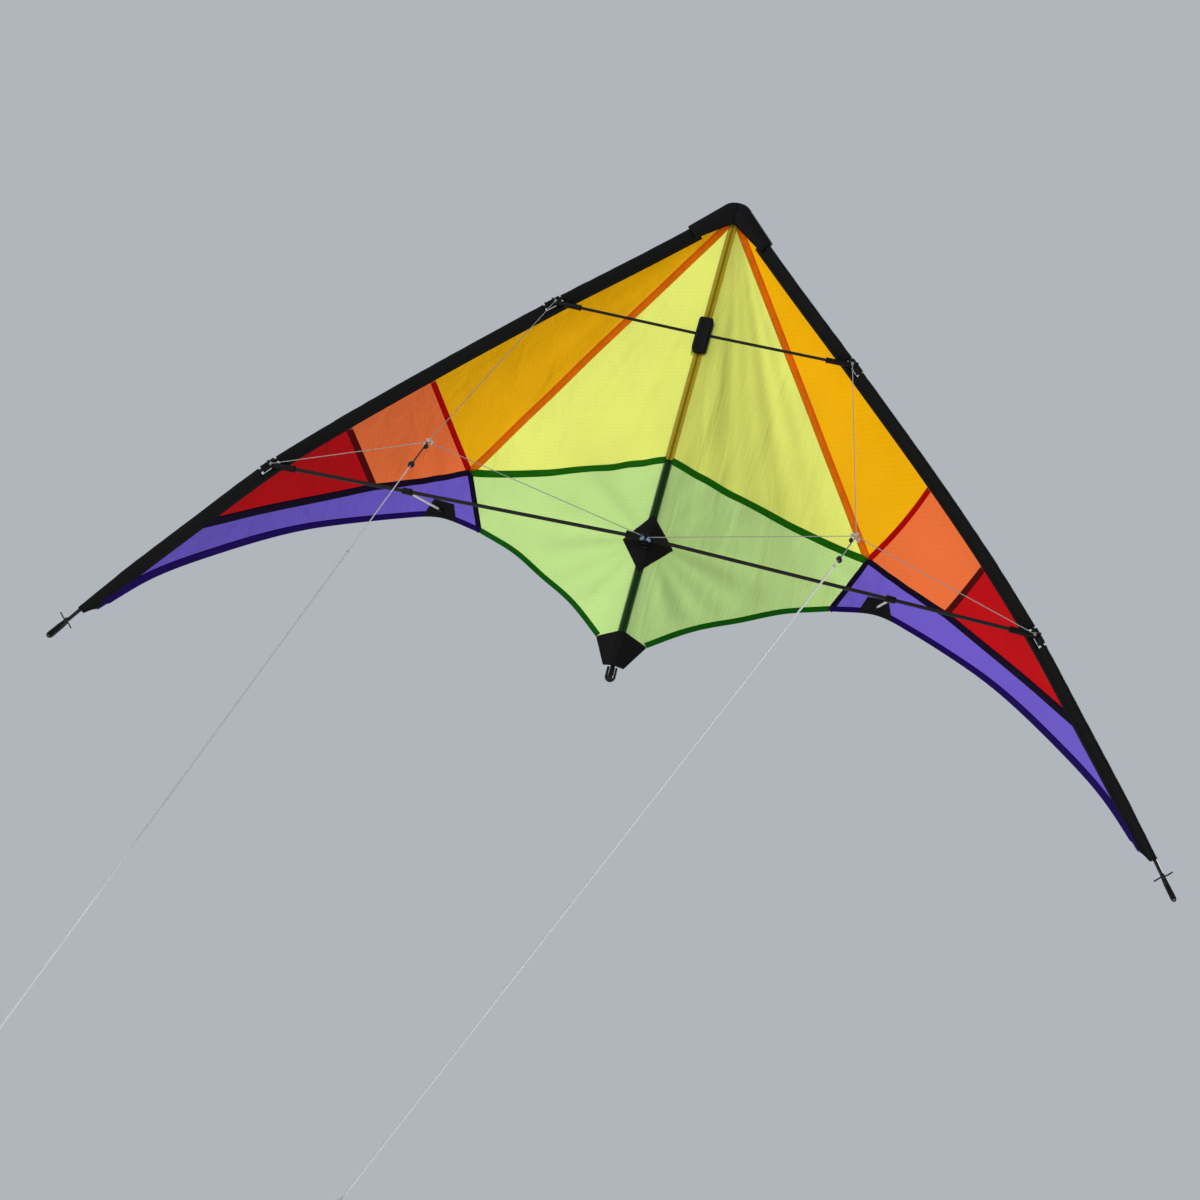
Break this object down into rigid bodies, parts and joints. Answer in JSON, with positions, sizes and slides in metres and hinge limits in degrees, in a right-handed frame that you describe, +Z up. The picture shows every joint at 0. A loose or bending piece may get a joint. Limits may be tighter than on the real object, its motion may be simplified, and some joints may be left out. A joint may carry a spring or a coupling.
{
  "type": "stunt kite",
  "caption": "Delta stunt kite with a rainbow panelled sail on a rod frame, spreaders, standoffs, bridles and the near ends of two flying lines",
  "frame": {"origin": "on the front crease of the sail at the centre T, where the lower spreader crosses the spine", "axes": "+Z up the spine to the nose, +X to the right wing as the flyer sees it, -Y towards the flyer"},
  "size_m": [1.5458, 1.4686, 1.5772],
  "materials": {
    "lime_cloth": "thin ripstop nylon, translucent lime",
    "gold_cloth": "thin ripstop nylon, translucent gold",
    "salmon_cloth": "thin ripstop nylon, translucent salmon orange",
    "red_cloth": "thin ripstop nylon, translucent red",
    "purple_cloth": "thin ripstop nylon, translucent violet",
    "green_cloth": "thin ripstop nylon, translucent pale green",
    "webbing": "black woven polyester sleeve and patch cloth",
    "vinyl": "black moulded soft vinyl, satin",
    "rod": "dark pultruded fibreglass rod, fine lengthwise grain",
    "standoff": "pale fibreglass rod",
    "line": "white braided polyester line",
    "pigtail": "black braided line",
    "elastic": "black cloth-covered elastic cord"
  },
  "bodies": {
    "spine": {"spine_rod": "rod", "spine_sleeve_nose": "lime_cloth", "spine_sleeve_middle": "lime_cloth", "spine_sleeve_tail": "green_cloth", "nose_webbing": "webbing", "upper_cross": "vinyl", "centre_t": "vinyl", "centre_patch": "webbing", "tail_patch": "webbing", "tail_cap": "vinyl", "tail_bungee": "elastic"},
    "wing_left": {"sail_lime_left": "lime_cloth", "sail_gold_left": "gold_cloth", "sail_salmon_left": "salmon_cloth", "sail_red_left": "red_cloth", "sail_purple_left": "purple_cloth", "sail_green_left": "green_cloth", "edge_patch_left": "webbing", "leading_rod_left": "rod", "sleeve_upper_left": "webbing", "sleeve_middle_left": "webbing", "sleeve_tip_left": "webbing", "connector_upper_left": "vinyl", "connector_lower_left": "vinyl", "spreader_upper_left": "rod", "spreader_lower_left": "rod", "tip_nock_left": "vinyl", "tip_bungee_left": "elastic", "bridle_outer_left": "line", "bridle_inner_left": "line", "tow_pigtail_left": "pigtail", "flying_line_left": "line"},
    "standoff_left": {"standoff_clip_left": "vinyl", "standoff_rod_left": "standoff", "standoff_cap_left": "vinyl"},
    "wing_right": {"sail_lime_right": "lime_cloth", "sail_gold_right": "gold_cloth", "sail_salmon_right": "salmon_cloth", "sail_red_right": "red_cloth", "sail_purple_right": "purple_cloth", "sail_green_right": "green_cloth", "edge_patch_right": "webbing", "leading_rod_right": "rod", "sleeve_upper_right": "webbing", "sleeve_middle_right": "webbing", "sleeve_tip_right": "webbing", "connector_upper_right": "vinyl", "connector_lower_right": "vinyl", "spreader_upper_right": "rod", "spreader_lower_right": "rod", "tip_nock_right": "vinyl", "tip_bungee_right": "elastic", "bridle_outer_right": "line", "bridle_inner_right": "line", "tow_pigtail_right": "pigtail", "flying_line_right": "line"},
    "standoff_right": {"standoff_clip_right": "vinyl", "standoff_rod_right": "standoff", "standoff_cap_right": "vinyl"}
  },
  "joints": [
    {"name": "wing_left_fold", "type": "hinge", "parent": "spine", "child": "wing_left", "pos_m": [0, 0.005, 0], "axis": [0, 0, -1], "range_deg": [0, 75], "deforming": ["sail_lime_left", "sail_gold_left", "sail_salmon_left", "sail_red_left", "sail_purple_left", "sail_green_left", "edge_patch_left", "bridle_inner_left", "centre_t", "upper_cross", "nose_webbing", "centre_patch", "tail_patch"]},
    {"name": "standoff_left_swing", "type": "hinge", "parent": "wing_left", "child": "standoff_left", "pos_m": [-0.33, 0.00105, -0.00534], "axis": [-0.9994, 0.0304, -0.0162], "range_deg": [0, 75]},
    {"name": "wing_right_fold", "type": "hinge", "parent": "spine", "child": "wing_right", "pos_m": [0, 0.005, 0], "axis": [0, 0, 1], "range_deg": [0, 75], "deforming": ["sail_lime_right", "sail_gold_right", "sail_salmon_right", "sail_red_right", "sail_purple_right", "sail_green_right", "edge_patch_right", "bridle_inner_right", "centre_t", "upper_cross", "nose_webbing", "centre_patch", "tail_patch"]},
    {"name": "standoff_right_swing", "type": "hinge", "parent": "wing_right", "child": "standoff_right", "pos_m": [0.33, 0.00105, -0.00534], "axis": [-0.9994, -0.0304, 0.0162], "range_deg": [0, 75]}
  ],
  "couplings": [
    {"joint": "standoff_left_swing", "follows": "wing_left_fold", "ratio": 1},
    {"joint": "standoff_right_swing", "follows": "wing_right_fold", "ratio": 1}
  ]
}
